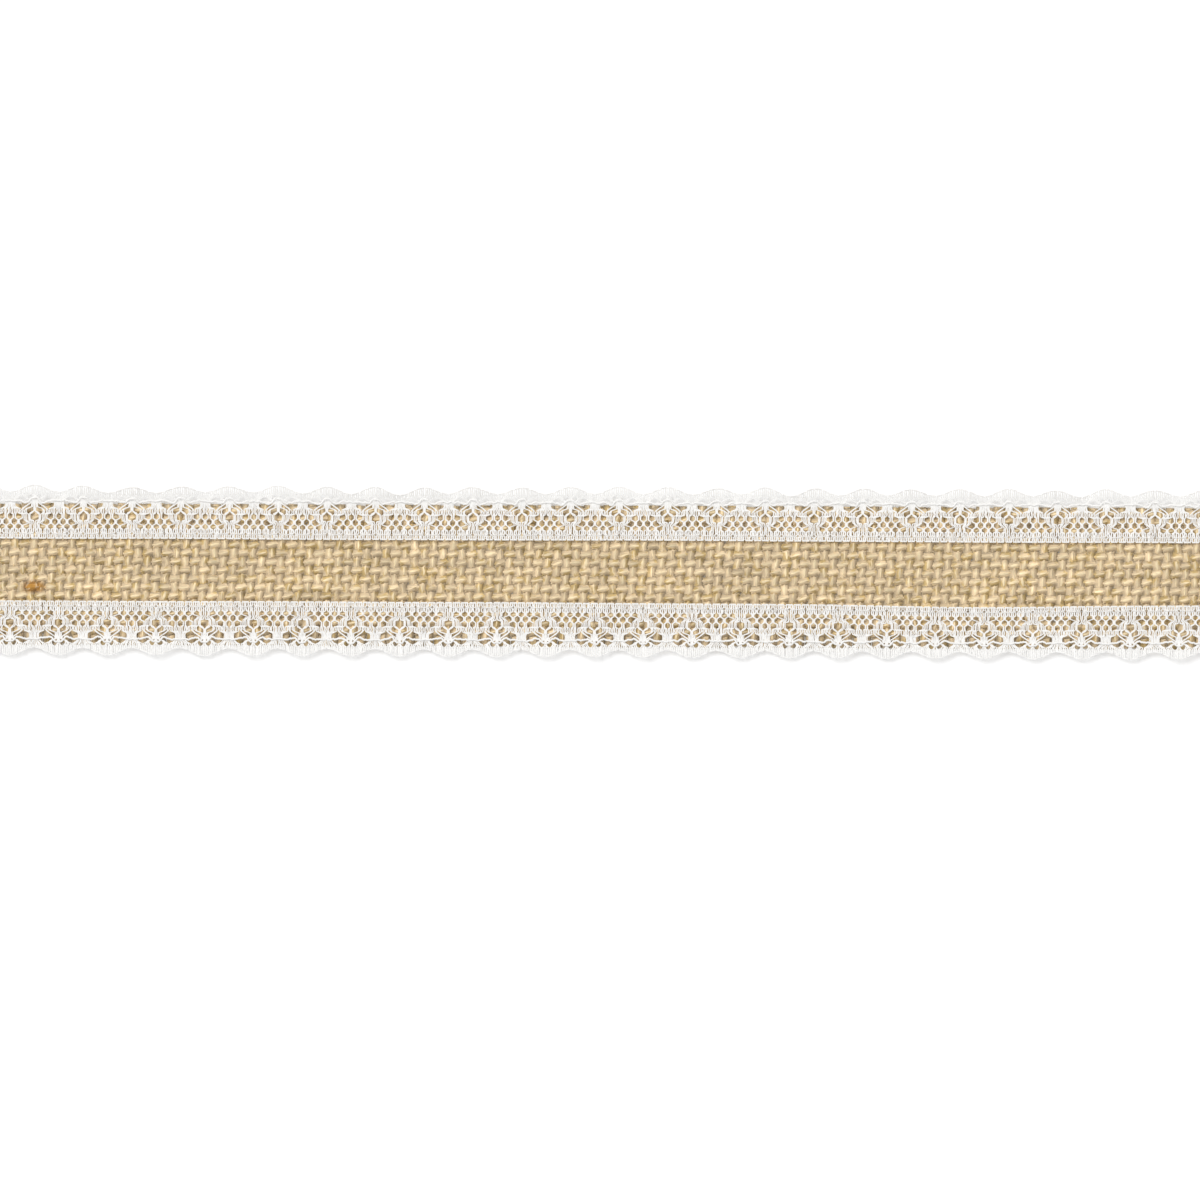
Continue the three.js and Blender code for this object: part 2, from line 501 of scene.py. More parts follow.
def jute_material(name, along, colours):
    """Natural jute: float tops painted lighter and flanks painted duller by their height, a painted
    highlight and shade, with golden blotches, fibre streaks, a shade of its own for each yarn, and one
    stain of bark."""
    material, nodes, links, shader = new_material(name)
    golden = patches_of(nodes, links, 380, 0.48, 0.66, along + 1)
    flank = blend_colours(nodes, links, golden, colours.jute_flank_painted_shade, colours.jute_gold)
    # Painted highlight and shade: the lighter crown colour goes on the float tops and the darker flank
    # colour in the recesses, by height.
    painted_light_by_height = blend_colours(nodes, links, painted_crown_highlight_mask(nodes, links), flank, colours.jute_crown_painted_highlight)
    bark = nodes.new("ShaderNodeMath")
    bark.operation = "MULTIPLY"
    links.new(slub_mask(nodes, links), bark.inputs[0])
    links.new(patches_of(nodes, links, 1100, 0.22, 0.50, 5), bark.inputs[1])
    stained = blend_colours(nodes, links, bark.outputs["Value"], painted_light_by_height, colours.jute_slub)

    fibre = spun_fibre(nodes, 0.28, 0.10)
    links.new(fibre_coordinates(nodes, links, along, 260, 2600, 0.12), fibre.inputs["Vector"])
    links.new(stained, fibre.inputs["Colour"])

    shaded = own_shade(nodes, links, fibre.outputs["Colour"], 0.84, 1.10)
    links.new(shaded, shader.inputs["Base Color"])
    shader.inputs["Roughness"].default_value = 0.72
    shader.inputs["Specular IOR Level"].default_value = 0.25
    shader.inputs["Sheen Weight"].default_value = 0.12
    shader.inputs["Sheen Roughness"].default_value = 0.5
    raise_fibres(nodes, links, fibre, shader, 0.5, 0.12 * MM)
    return material


def cotton_material(name, colour, streak_depth, roughness):
    """White spun cotton: a little darker between its fibres, with a shade of its own for each thread."""
    material, nodes, links, shader = new_material(name)
    fibre = spun_fibre(nodes, streak_depth, 0.02)
    fibre.inputs["Colour"].default_value = (*colour, 1)
    links.new(fibre_coordinates(nodes, links, 1, 1500, 4000, 0.4), fibre.inputs["Vector"])
    shaded = own_shade(nodes, links, fibre.outputs["Colour"], 0.94, 1.03)
    links.new(shaded, shader.inputs["Base Color"])
    shader.inputs["Roughness"].default_value = roughness
    shader.inputs["Specular IOR Level"].default_value = 0.2
    shader.inputs["Sheen Weight"].default_value = 0.08
    raise_fibres(nodes, links, fibre, shader, 0.3, 0.05 * MM)
    return material


# Burlap

SLUB_PLACE = Vector((-163 * MM, -5.0 * MM))   # one knot of bark, low on the front half
SLUB_LENGTH = 4.6 * MM
SLUB_WIDTH = 2.4 * MM

SLUB_SWELL = 0.25                              # how much the knot thickens its yarn

# A float swells in its middle: (end, girth) along it, as shares of the yarn.
FLOAT_GIRTHS = ((-1, 0.76), (0, 1.10), (1, 0.78))
THINNEST_FLOAT, THICKEST_FLOAT = 0.55, 1.2
LENGTHWISE_GIRTH, CROSSWISE_GIRTH = 0.95, 0.90   # the two sets' own shares
# Half of a float's level stretch, as a share of the pitch of the yarns that it crosses.
LENGTHWISE_REACH, CROSSWISE_REACH = 0.33, 0.36
LENGTHWISE_TILT = 0.20 * MM   # the yarn's spin turns each float a little, up towards the right

# How far the crosswise yarns stick out past each edge: the laces sit a little nearer to the back.
FRONT_EDGE_OUT = 2.0 * MM
BACK_EDGE_OUT = -0.6 * MM
CUT_GIRTH = 0.8   # a crosswise yarn's girth at its cut ends, as a share of the float before


def float_places(reach, pitch):
    """Where the crosswise yarns lie, out to a reach on both sides of the middle, numbered."""
    last = math.floor(reach / pitch)
    return [(number, number * pitch) for number in range(-last, last + 1)]


def float_girth(share):
    """A float's share of its yarn's girth, kept from thinning or swelling too far."""
    return min(THICKEST_FLOAT, max(THINNEST_FLOAT, share))


def lengthwise_place(number, sizes):
    return (number - (sizes.lengthwise_yarns - 1) / 2) * sizes.lengthwise_pitch


def lengthwise_route(number, sizes, columns):
    """One yarn along the runner, over and under the crosswise yarns, with a loose tail at each end."""
    across = lengthwise_place(number, sizes)
    flat = LENGTHWISE_REACH * sizes.crosswise_pitch
    route = []
    for column, along in columns:
        along += sizes.lean * across
        over = 1 if (number + column) % 2 == 0 else -1
        width = float_girth(
            LENGTHWISE_GIRTH + drift("lengthwise swell", along, number)
            + drift("lengthwise float swell", along, number))
        if slub_yarn(number, sizes):
            width += SLUB_SWELL * math.exp(-((along - SLUB_PLACE.x) / SLUB_LENGTH) ** 2)
        stray = drift("lengthwise wander", along, number) + drift("lengthwise float shift", along, number)
        tilt = over * LENGTHWISE_TILT + drift("lengthwise float tilt", along, number)
        height = MID_PLANE + over * sizes.yarn_half_height
        for end, girth in FLOAT_GIRTHS:
            route.append((along + end * flat, across + stray + end * tilt, height, girth * width))
    return tail(route, number, -1) + route + tail(route, number, 1)


def slub_yarn(number, sizes):
    return abs(lengthwise_place(number, sizes) - SLUB_PLACE.y) < sizes.lengthwise_pitch / 2


TAIL_STEPS = 9
TAIL_LEVEL = 0.42 * MM   # height of a tail's middle where it lies on the table
TAIL_FALL = 2.2          # how fast a tail comes down to that level
TAIL_TAPER = 0.45        # how much thinner a tail's tip is


def tail(route, number, end):
    """The bare end of a lengthwise yarn, which relaxes towards the table and thins out."""
    x, y, z, scale = route[-1] if end > 0 else route[0]
    reach = RUNNER_END - abs(drift("tail cut", 3.7 * number, end)) - abs(x)
    points = []
    for step in range(1, TAIL_STEPS + 1):
        share = step / TAIL_STEPS
        sway = share * drift("tail sway", 4 * share + 9 * number, end)
        drop = (z - TAIL_LEVEL) * min(1, TAIL_FALL * share)
        thinned = scale * (1 - TAIL_TAPER * share ** 2)
        points.append((x + end * reach * share, y + sway, z - drop, thinned))
    return points if end > 0 else points[::-1]


def crosswise_route(column, along, sizes):
    """One yarn across the runner, to its two cut ends."""
    flat = CROSSWISE_REACH * sizes.lengthwise_pitch
    route = []
    for number in range(sizes.lengthwise_yarns):
        across = lengthwise_place(number, sizes)
        over = -1 if (number + column) % 2 == 0 else 1
        width = float_girth(
            CROSSWISE_GIRTH + drift("crosswise swell", across, column)
            + drift("crosswise float swell", across, column))
        x = along + sizes.lean * across + drift("crosswise wander", across, column)
        tilt = drift("crosswise float tilt", across, column)
        bow = drift("crosswise float bow", across, column)
        height = MID_PLANE + over * sizes.yarn_half_height
        for end, girth in FLOAT_GIRTHS:
            stray = end * tilt + (1 - abs(end)) * bow
            route.append((x + stray, across + end * flat, height, girth * width))
    for end, out in ((FRONT, FRONT_EDGE_OUT), (BACK, BACK_EDGE_OUT)):
        x, _, _, width = route[0] if end == FRONT else route[-1]
        out -= abs(drift("crosswise cut", 1.9 * column, end))
        cut = (x + end * sizes.lean * MM, end * (BAND_EDGE + out), MID_PLANE, CUT_GIRTH * width)
        route = [cut] + route if end == FRONT else route + [cut]
    return route


# How the woven yarns' outlines settle. The drops are shares of the yarn's height above or below the
# middle plane.
KNEE_RANGE = (0.6, 1.5)   # the wall points that are knees, as shares of YARN_KNEE
KNEE_DROP = 0.84
FLANK_DROP = 0.95
FLANK_LAP = 1.03          # how far out a flank reaches, as a share of half the pitch


def flanks_to_mid_plane(across_axis, half_pitch):
    """Lays a yarn's flanks out to their neighbours' and down to the cloth's middle plane, where they
    meet the crossing yarns' flanks."""
    nearest_knee, furthest_knee = (limit * YARN_KNEE for limit in KNEE_RANGE)

    def settle(point, place):
        height = place[2] - MID_PLANE
        across = point[across_axis] - place[across_axis]
        share = abs(across) / (half_pitch * place[3])
        if abs(place[0]) > CLOTH_END or share < nearest_knee:
            return point
        if share < furthest_knee:
            return point - Vector((0, 0, KNEE_DROP * height))
        point[across_axis] += math.copysign(FLANK_LAP * half_pitch, across) - across
        point.z -= FLANK_DROP * height
        return point
    return settle


YARN_SHADES = (0.3, 0.7)   # darkest and lightest of the yarns' own shades
FLOAT_SHADE_SPREAD = 0.28


def float_shades(route, chance):
    """A shade for each place of a yarn: its own, with every few places lighter or duller."""
    own = chance.uniform(*YARN_SHADES)
    shades = []
    while len(shades) < len(route):
        shades += [min(1, max(0, chance.gauss(own, FLOAT_SHADE_SPREAD)))] * len(FLOAT_GIRTHS)
    return shades[:len(route)]


FIBRE_RADIUS = 0.055 * MM
FIBRE_STEPS = 6
STRAY_FIBRES = 1500
STRAY_END_MARGIN, STRAY_EDGE_MARGIN = 4 * MM, 2 * MM   # kept clear where a fibre starts
STRAY_LENGTHS = (2.5 * MM, 8 * MM)
STRAY_LIFTS = (0.70 * MM, 0.86 * MM)   # middle plane to the top of a fibre's arch
STRAY_ENDS = 0.72                      # height of its two ends, as a share of that
STRAY_THINNEST = 0.4                   # girth of its two ends
STRAY_ON_TOP = 0.75                    # share of the fibres that lie on the upper face
FIBRE_FLOOR = 0.05 * MM                # lowest that the middle of one is laid
FRAYS_PER_TAIL = 9
FRAY_LIFT = 0.25 * MM
FRAY_GIRTH = 1.7                       # at the root, falling by 1 towards the tip


def stray_fibres():
    """Short loose fibres lying over both faces of the weave."""
    chance = random.Random(41)
    furthest_x, furthest_y = CLOTH_END - STRAY_END_MARGIN, BAND_EDGE - STRAY_EDGE_MARGIN
    routes = []
    for _ in range(STRAY_FIBRES):
        x = chance.uniform(-furthest_x, furthest_x)
        y = chance.uniform(-furthest_y, furthest_y)
        heading = chance.choice((0, math.pi / 2)) + chance.gauss(0, 0.5)
        bend = chance.gauss(0, 0.25)
        pace = chance.uniform(*STRAY_LENGTHS) / FIBRE_STEPS
        face = 1 if chance.random() < STRAY_ON_TOP else -1
        lift = chance.uniform(*STRAY_LIFTS)
        route = []
        for step in range(FIBRE_STEPS + 1):
            arch = math.sin(math.pi * step / FIBRE_STEPS)
            height = MID_PLANE + face * lift * (STRAY_ENDS + (1 - STRAY_ENDS) * arch)
            girth = STRAY_THINNEST + (1 - STRAY_THINNEST) * arch
            route.append((x, y, max(FIBRE_FLOOR, height), girth))
            x += math.cos(heading) * pace
            y += math.sin(heading) * pace
            heading += bend
        if abs(y) < BAND_EDGE:
            routes.append(route)
    return routes


def frayed_tips(yarns, chance):
    """Fine fibres that have come loose from the yarns' bare ends."""
    routes = []
    for yarn in yarns:
        for end, bare in ((-1, yarn[:TAIL_STEPS][::-1]), (1, yarn[-TAIL_STEPS:])):
            for _ in range(FRAYS_PER_TAIL):
                x, y, z, _ = bare[chance.randrange(1, TAIL_STEPS - 2)]
                pace = chance.uniform(0.6, 1.0) * (RUNNER_END - abs(x)) / FIBRE_STEPS
                heading = chance.gauss(0, 0.3)
                bend = chance.gauss(0, 0.09)
                route = []
                for step in range(FIBRE_STEPS + 1):
                    share = step / FIBRE_STEPS
                    height = z + FRAY_LIFT * math.sin(math.pi * share)
                    route.append((x, y, height, FRAY_GIRTH - share))
                    x += end * math.cos(heading) * pace
                    y += math.sin(heading) * pace
                    heading += bend
                routes.append(route)
    return routes


CLOTH_MARGIN = 1 * MM        # last crosswise yarn to the end of the cloth, at least
COLUMN_SHAKE = 0.07 * MM     # how unevenly the crosswise yarns are beaten up


def weave_burlap(sizes, colours):
    chance = random.Random(7)
    outline = flattened_section("yarn_outline", sizes.yarn_half_width, sizes.yarn_half_height)
    lengthwise_jute = jute_material("jute lengthwise", 0, colours)
    crosswise_jute = jute_material("jute crosswise", 1, colours)

    columns = float_places(CLOTH_END - CLOTH_MARGIN, sizes.crosswise_pitch)
    shaken = [(column, along + chance.gauss(0, COLUMN_SHAKE)) for column, along in columns]
    crosswise = [crosswise_route(column, along, sizes) for column, along in shaken]
    shades = [float_shades(route, chance) for route in crosswise]
    settle = flanks_to_mid_plane(0, sizes.crosswise_pitch / 2)
    half = len(crosswise) // 2
    cloth = sweep(
        "crosswise_yarns_left", crosswise[:half], outline, crosswise_jute, shades[:half], settle)
    seat(cloth, "jute_burlap", "burlap_band")
    others = [sweep(
        "crosswise_yarns_right", crosswise[half:], outline, crosswise_jute, shades[half:], settle)]

    settle = flanks_to_mid_plane(1, sizes.lengthwise_pitch / 2)
    yarns = [lengthwise_route(number, sizes, shaken) for number in range(sizes.lengthwise_yarns)]
    for number, route in enumerate(yarns):
        others.append(sweep(
            f"lengthwise_yarn_{number + 1:02d}", [route], outline, lengthwise_jute,
            [float_shades(route, chance)], settle))

    hair = round_section("fibre_outline", FIBRE_RADIUS, 3)
    loose = stray_fibres() + frayed_tips(yarns, chance)
    others.append(sweep(
        "stray_fibres", loose, hair, lengthwise_jute, [chance.random() for _ in loose]))
    for piece in others:
        seat(piece, "jute_burlap")
    # The first piece holds half of the crosswise yarns, so its area is half of the cloth's.
    for spare in (outline, hair):
        bpy.data.objects.remove(spare)


# Lace

# The lace draft. The lace is drawn in mesh cells, six to a repeat, for the half repeat from the
# middle of a pillar (0) to the middle of a basket (3), with twelve threads, four to a cell.
# Each row is a distance out from the heading edge in millimetres and the lanes that the threads
# run in there: (first cell place, last cell place, threads). The space between lanes is a hole.
CELLS_PER_REPEAT = 6
HALF_REPEAT = CELLS_PER_REPEAT / 2
THREADS_PER_HALF = 12
THREADS_PER_CELL = THREADS_PER_HALF / HALF_REPEAT
HEADING_ROWS = (
    (0.16, ((0.0, 3.0, 12),)),
    (1.12, ((0.0, 3.0, 12),)),
    (1.54, ((0.24, 1.76, 8), (2.24, 3.0, 4))),
    (1.96, ((0.0, 3.0, 12),)),
    (2.75, ((0.0, 3.0, 12),)),
)
BASKET_ROWS = (
    (3.12, ((0.0, 0.23, 1), (0.31, 0.68, 3), (1.32, 1.68, 4), (2.32, 2.68, 4))),
    (3.88, ((0.0, 0.21, 1), (0.33, 0.68, 3), (1.34, 1.66, 4), (2.34, 2.66, 4))),
    (4.42, ((0.0, 0.92, 6), (1.81, 2.19, 4), (2.81, 3.0, 2))),
    (5.20, ((0.0, 0.27, 1), (0.34, 0.76, 2), (0.84, 1.18, 3), (1.84, 2.16, 4), (2.84, 3.0, 2))),
    (5.52, ((0.46, 0.78, 3), (0.86, 1.36, 3), (1.77, 2.23, 4), (2.78, 3.0, 2))),
    (6.02, ((0.48, 0.80, 3), (0.90, 1.62, 5), (2.32, 2.47, 2), (2.54, 2.69, 2))),
    (7.05, ((0.47, 0.84, 3), (0.92, 1.64, 5), (2.31, 2.45, 2), (2.55, 2.69, 2))),
    (7.45, ((0.20, 0.66, 2), (0.90, 3.0, 10))),
)
FAN_ROWS = (
    (8.10, ((0.0, 0.15, 2), (0.95, 2.60, 8), (2.70, 3.0, 2))),
    (8.70, ((0.0, 0.17, 2), (0.88, 1.06, 2), (1.36, 1.56, 2), (1.70, 3.0, 6))),
    (9.25, ((0.0, 0.44, 4), (1.10, 1.28, 2), (2.30, 3.0, 6))),
    (9.85, ((0.0, 0.44, 4), (0.74, 0.90, 2), (2.38, 3.0, 6))),
    (10.45, ((0.0, 0.54, 6), (2.38, 3.0, 6))),
    (11.05, ((0.0, 0.50, 6), (2.32, 3.0, 6))),
    (11.60, ((0.0, 0.17, 2), (0.76, 1.06, 4), (2.18, 3.0, 6))),
    (12.05, ((0.0, 0.16, 2), (0.82, 1.26, 4), (1.96, 3.0, 6))),
    (12.45, ((0.0, 0.20, 2), (0.76, 3.0, 10))),
    (12.85, ((0.0, 0.32, 2), (0.64, 3.0, 10))),
    (13.20, ((0.0, 3.0, 12),)),
)
LACE_DRAFT = HEADING_ROWS + BASKET_ROWS + FAN_ROWS
# Past the draft the threads run on to the scalloped edge: shares of what is left.
FAN_SHARES = (0.5, 1.0)
LANE_FILL = 0.35             # half width of a thread, as a share of its room in a lane
LEAST_THREAD = 0.55          # narrowest that a thread is drawn in, as a share of its open width
THREAD_FLATNESS = 0.36       # half thickness of a thread, as a share of its half width
THREAD_ZIGZAG = 0.06         # how far it leans to its neighbours in turn, as a share of its room
THREAD_LEVEL = 0.22 * MM     # a thread's middle above the lace's seat
THREAD_WEAVE = 0.02 * MM     # how far it rises and dips from row to row
THREAD_INSET = 0.12 * MM     # outermost turn of the threads to the scalloped edge
MIDDLE_SHADE = 0.5

BINDER_RADIUS = 0.10 * MM
BINDER_LEVEL = 0.13 * MM
BINDER_STEPS = 4             # places in each cell

# The gimp's wave: distances in millimetres, and places and widths in cells.
GIMP_LEVEL = 0.48 * MM
GIMP_STEPS = 6
GIMP_BASE = -0.15            # out from its middle line, under a basket
GIMP_RIPPLE = 0.05
FOOT_OUT, FOOT_WIDTH = 0.85, 0.60
CORNER_IN, CORNER_PLACE, CORNER_WIDTH = 0.55, 1.0, 0.62

# The front lace's heading swings outwards once.
BULGE_OUT, BULGE_PLACE, BULGE_WIDTH = 0.75 * MM, 108 * MM, 42 * MM

# How the laces' outer edges curl up off the table: the usual angle and its change, in degrees.
CURLS = {FRONT: ("front lace curl", 10, 12), BACK: ("back lace curl", 24, 22)}


def lane_places(lanes):
    """The cell place of each thread of a half repeat, in order, and how much of the lane it fills."""
    places = []
    for first, last, threads in lanes:
        step = (last - first) / threads
        places += [(first + (index + 0.5) * step, step) for index in range(threads)]
    return places


def scallop_reach(cell, sizes):
    """Heading edge to outer edge, with a peak at each pillar."""
    wave = math.cos(2 * math.pi * cell / CELLS_PER_REPEAT)
    return LACE_WIDTH - sizes.scallop_depth * (1 - wave) / 2


def draft_stations():
    """The draft with each row's twelve places worked out."""
    rows = [(reach * MM, lane_places(lanes)) for reach, lanes in LACE_DRAFT]
    for reach, places in rows:
        if len(places) != THREADS_PER_HALF:
            raise RuntimeError(f"the lace draft's row at {reach} holds {len(places)} threads")
    return rows


def thread_stations(thread, rows, sizes):
    """Out along one thread of the lace: (place in cells, reach in metres, room in cells)."""
    whole = 2 * THREADS_PER_HALF
    repeat, index = divmod(thread, whole)
    origin, way = repeat * CELLS_PER_REPEAT, 1
    if index >= THREADS_PER_HALF:
        origin, way, index = origin + CELLS_PER_REPEAT, -1, whole - 1 - index
    stations = [
        (origin + way * places[index][0], reach, places[index][1]) for reach, places in rows]
    inner_reach, (fan_start, room) = rows[-1][0], rows[-1][1][index]
    cell = origin + way * fan_start
    edge = scallop_reach(cell, sizes) - THREAD_INSET
    for share in FAN_SHARES:
        stations.append((cell, inner_reach + (edge - inner_reach) * share, room))
    return stations


def meander(x, side):
    """How far a lace's heading wanders from straight."""
    if side == FRONT:
        bulge = BULGE_OUT * math.exp(-((x - BULGE_PLACE) / BULGE_WIDTH) ** 2)
        return bulge + drift("front lace meander", x)
    return drift("back lace meander", x)


def lace_lift(x, reach, side):
    """Height of the lace above its seat, and how far its outer edge has drawn in."""
    over_edge = max(0.0, HEADING_EDGE + reach - BAND_EDGE)
    kind, usual, change = CURLS[side]
    curl = math.radians(usual + change * drift(kind, x))
    return over_edge * math.sin(curl), over_edge * (1 - math.cos(curl))


def on_lace(cell, reach, side, level, scale, sizes):
    """A point of the runner from a place on the flat lace. The back lace is turned half a turn."""
    cell_size = sizes.lace_repeat / CELLS_PER_REPEAT
    x = -side * cell * cell_size
    if side == BACK:
        x += sizes.lace_repeat / 2
    lift, drawn_in = lace_lift(x, reach, side)
    wander = meander(x, side) * max(0.0, 1 - reach / LACE_WIDTH)
    y = side * (HEADING_EDGE + reach - drawn_in + wander)
    return (x, y, LACE_SEAT + level + lift, scale)


def lace_thread_route(parity, side, rows, sizes):
    """Every other crossing of the lace, as one thread that runs out and back from end to end of the
    runner. It lies flat and wide where it has room, and bunches up in the bars between the holes."""
    cell_size = sizes.lace_repeat / CELLS_PER_REPEAT
    last = math.floor((CLOTH_END - cell_size) / (cell_size / THREADS_PER_CELL))
    shift = THREADS_PER_HALF if side == BACK else 0
    route, shades = [], []
    for order, thread in enumerate(range(-last - last % 2 + parity, last, 2)):
        stations = thread_stations(thread + shift, rows, sizes)
        points = []
        for number, (cell, reach, room) in enumerate(stations):
            fill = min(1.0, max(LEAST_THREAD, LANE_FILL * room * cell_size / sizes.lace_thread))
            fill *= 1 + drift("lace thread swell", 1.7 * thread + 0.25 * number, parity)
            cell += room * drift("lace thread shift", 2.9 * thread + 0.2 * number)
            cell += room * THREAD_ZIGZAG * (-1) ** (number + thread)
            level = THREAD_LEVEL + THREAD_WEAVE * (-1) ** (number + parity)
            level += drift("lace thread level", 2.3 * thread)
            points.append(on_lace(cell, reach, side, level, fill, sizes))
        route += points if order % 2 == 0 else points[::-1]
        shades += [MIDDLE_SHADE + drift("lace thread shade", 3.1 * thread, parity)] * len(points)
    return route, shades


def lace_line_route(reach_at, side, level, sizes, steps):
    """A thread along the lace, at a reach that changes with the place in the repeat."""
    cell_size = sizes.lace_repeat / CELLS_PER_REPEAT
    last = math.floor((CLOTH_END - CLOTH_MARGIN) / cell_size * steps)
    shift = HALF_REPEAT if side == BACK else 0
    route = []
    for number in range(-last, last + 1):
        cell = number / steps + shift
        if abs(on_lace(cell, 0, side, 0, 1, sizes)[0]) < CLOTH_END:
            route.append(on_lace(cell, reach_at(cell, number), side, level, 1.0, sizes))
    return route


def gimp_reach(cell, number):
    """The gimp's wave: level under a basket, in at its corners, and out round each pillar's foot."""
    from_pillar = abs((cell + HALF_REPEAT) % CELLS_PER_REPEAT - HALF_REPEAT)
    foot = math.exp(-(from_pillar / FOOT_WIDTH) ** 4)
    corner = math.exp(-((from_pillar - CORNER_PLACE) / CORNER_WIDTH) ** 2) * (1 - foot)
    ripple = GIMP_RIPPLE * (-1) ** number + drift("gimp ripple", 0.37 * number)
    return GIMP_REACH + (GIMP_BASE + FOOT_OUT * foot - CORNER_IN * corner + ripple) * MM


def binder_lines(sizes):
    """The reach functions of the fine threads that run along the lace and hold the others."""
    def straight(reach, sway):
        return lambda cell, number: (reach + sway * (-1) ** number) * MM

    def along_edge(cell, number):
        return scallop_reach(cell, sizes) - (0.42 + 0.1 * (-1) ** number) * MM

    return straight(0.42, 0.08), straight(13.3, 0.12), along_edge


def make_lace(sizes, colours):
    cotton = cotton_material("lace cotton", colours.lace_white, 0.04, 0.85)
    flat_thread = section("lace_outline", [
        (sizes.lace_thread, 0), (0, THREAD_FLATNESS * sizes.lace_thread),
        (-sizes.lace_thread, 0), (0, -THREAD_FLATNESS * sizes.lace_thread)])
    fine_thread = round_section("binder_outline", BINDER_RADIUS, 4)
    rows = draft_stations()
    for edge, side in SIDES.items():
        nets = []
        for parity, which in enumerate(("odd", "even")):
            route, shades = lace_thread_route(parity, side, rows, sizes)
            nets.append(sweep(f"lace_threads_{edge}_{which}", [route], flat_thread, cotton, [shades]))
            nets[-1].data.shade_flat()
        lines = [
            lace_line_route(reach_at, side, BINDER_LEVEL, sizes, BINDER_STEPS)
            for reach_at in binder_lines(sizes)]
        nets.append(sweep(f"lace_binders_{edge}", lines, fine_thread, cotton))
        seat(nets[0], "cotton_lace", f"lace_trim_{edge}")
        for net in nets[1:]:
            seat(net, "cotton_lace")
    for spare in (flat_thread, fine_thread):
        bpy.data.objects.remove(spare)


def lay_gimp(sizes, colours):
    cotton = cotton_material("gimp cotton", colours.lace_white, 0.03, 0.7)
    thread = round_section("gimp_outline", sizes.gimp_radius, 6)
    for edge, side in SIDES.items():
        route = lace_line_route(gimp_reach, side, GIMP_LEVEL, sizes, GIMP_STEPS)
        seat(sweep(f"gimp_{edge}", [route], thread, cotton), "lace_gimp", f"lace_gimp_{edge}")
    bpy.data.objects.remove(thread)


# Stitches

NEEDLE_LEVEL = LACE_SEAT + 0.42 * MM   # the needle thread's middle where it lies on the lace
BOBBIN_LEVEL = 0.17 * MM               # the bobbin thread's, under the burlap
STITCH_SLANT = 0.12 * MM
CELLS_PER_STITCH = 2
# One stitch: (place from the needle hole, depth towards the middle plane), in stitch lengths.
STITCH_SHAPE = ((-0.42, 0.0), (-0.09, 0.0), (0.0, 1.0), (0.09, 0.0))


def stitch_route(side, above, sizes):
    """One thread of the lockstitch: flat between two needle holes, and down into each of them.
    The holes stand where the lace's heading opens."""
    pitch = CELLS_PER_STITCH * sizes.lace_repeat / CELLS_PER_REPEAT
    first = 0.5 if side == BACK else 0.0
    outside = NEEDLE_LEVEL if above else BOBBIN_LEVEL
    last = math.floor(STITCH_END / pitch)
    route = []
    for hole in range(-last, last + 1):
        for shift, depth in STITCH_SHAPE:
            x = (hole + first + shift) * pitch
            y = side * (HEADING_EDGE + STITCH_REACH + meander(x, side)) + STITCH_SLANT * shift
            route.append((x, y, outside + (MID_PLANE - outside) * depth, 1.0))
    return [point for point in route if abs(point[0]) <= STITCH_END]


def sew_lockstitch(sizes, colours):
    cotton = cotton_material("sewing thread", colours.thread_white, 0.06, 0.55)
    thread = round_section("sewing_outline", sizes.sewing_thread, 6)
    for edge, side in SIDES.items():
        for which, above in (("needle", True), ("bobbin", False)):
            route = stitch_route(side, above, sizes)
            name = f"{which}_thread_{edge}"
            seat(sweep(f"{which}_stitches_{edge}", [route], thread, cotton), "sewing_thread", name)
    bpy.data.objects.remove(thread)


# Stage

VIEW_WIDTH = 348.8 * MM   # what the camera takes in along the runner
VIEW_PLACE = (1.6 * MM, -8.2 * MM, 1.0)
VIEW_ROLL = math.radians(0.25)
TABLE_HALF = 12           # half the floor's side, in metres
TABLE_DROP = 0.1 * MM     # below the runner, so that the two never share a plane
TABLE_WHITE = 0.92
TABLE_GLOW = 0.16         # added for the camera, which brings it up to plain white
ROOM_LIGHT = 0.66
WINDOW_LIGHT = 1.40
WINDOW_SPREAD = math.radians(30)
WINDOW_WAY = (0.42, -0.48, -1.0)


def floor_material():
    """Plain white for the camera, with the runner's shadow kept."""
    material, nodes, links, shader = new_material("table")
    nodes.remove(shader)
    output = nodes["Material Output"]
    diffuse = nodes.new("ShaderNodeBsdfDiffuse")
    diffuse.inputs["Color"].default_value = (TABLE_WHITE, TABLE_WHITE, TABLE_WHITE, 1)
    glow = nodes.new("ShaderNodeEmission")
    glow.inputs["Color"].default_value = (1, 1, 1, 1)
    path = nodes.new("ShaderNodeLightPath")
    faint = nodes.new("ShaderNodeMath")
    faint.operation = "MULTIPLY"
    faint.inputs[1].default_value = TABLE_GLOW
    links.new(path.outputs["Is Camera Ray"], faint.inputs[0])
    links.new(faint.outputs["Value"], glow.inputs["Strength"])
    both = nodes.new("ShaderNodeAddShader")
    links.new(diffuse.outputs["BSDF"], both.inputs[0])
    links.new(glow.outputs["Emission"], both.inputs[1])
    links.new(both.outputs["Shader"], output.inputs["Surface"])
    return material


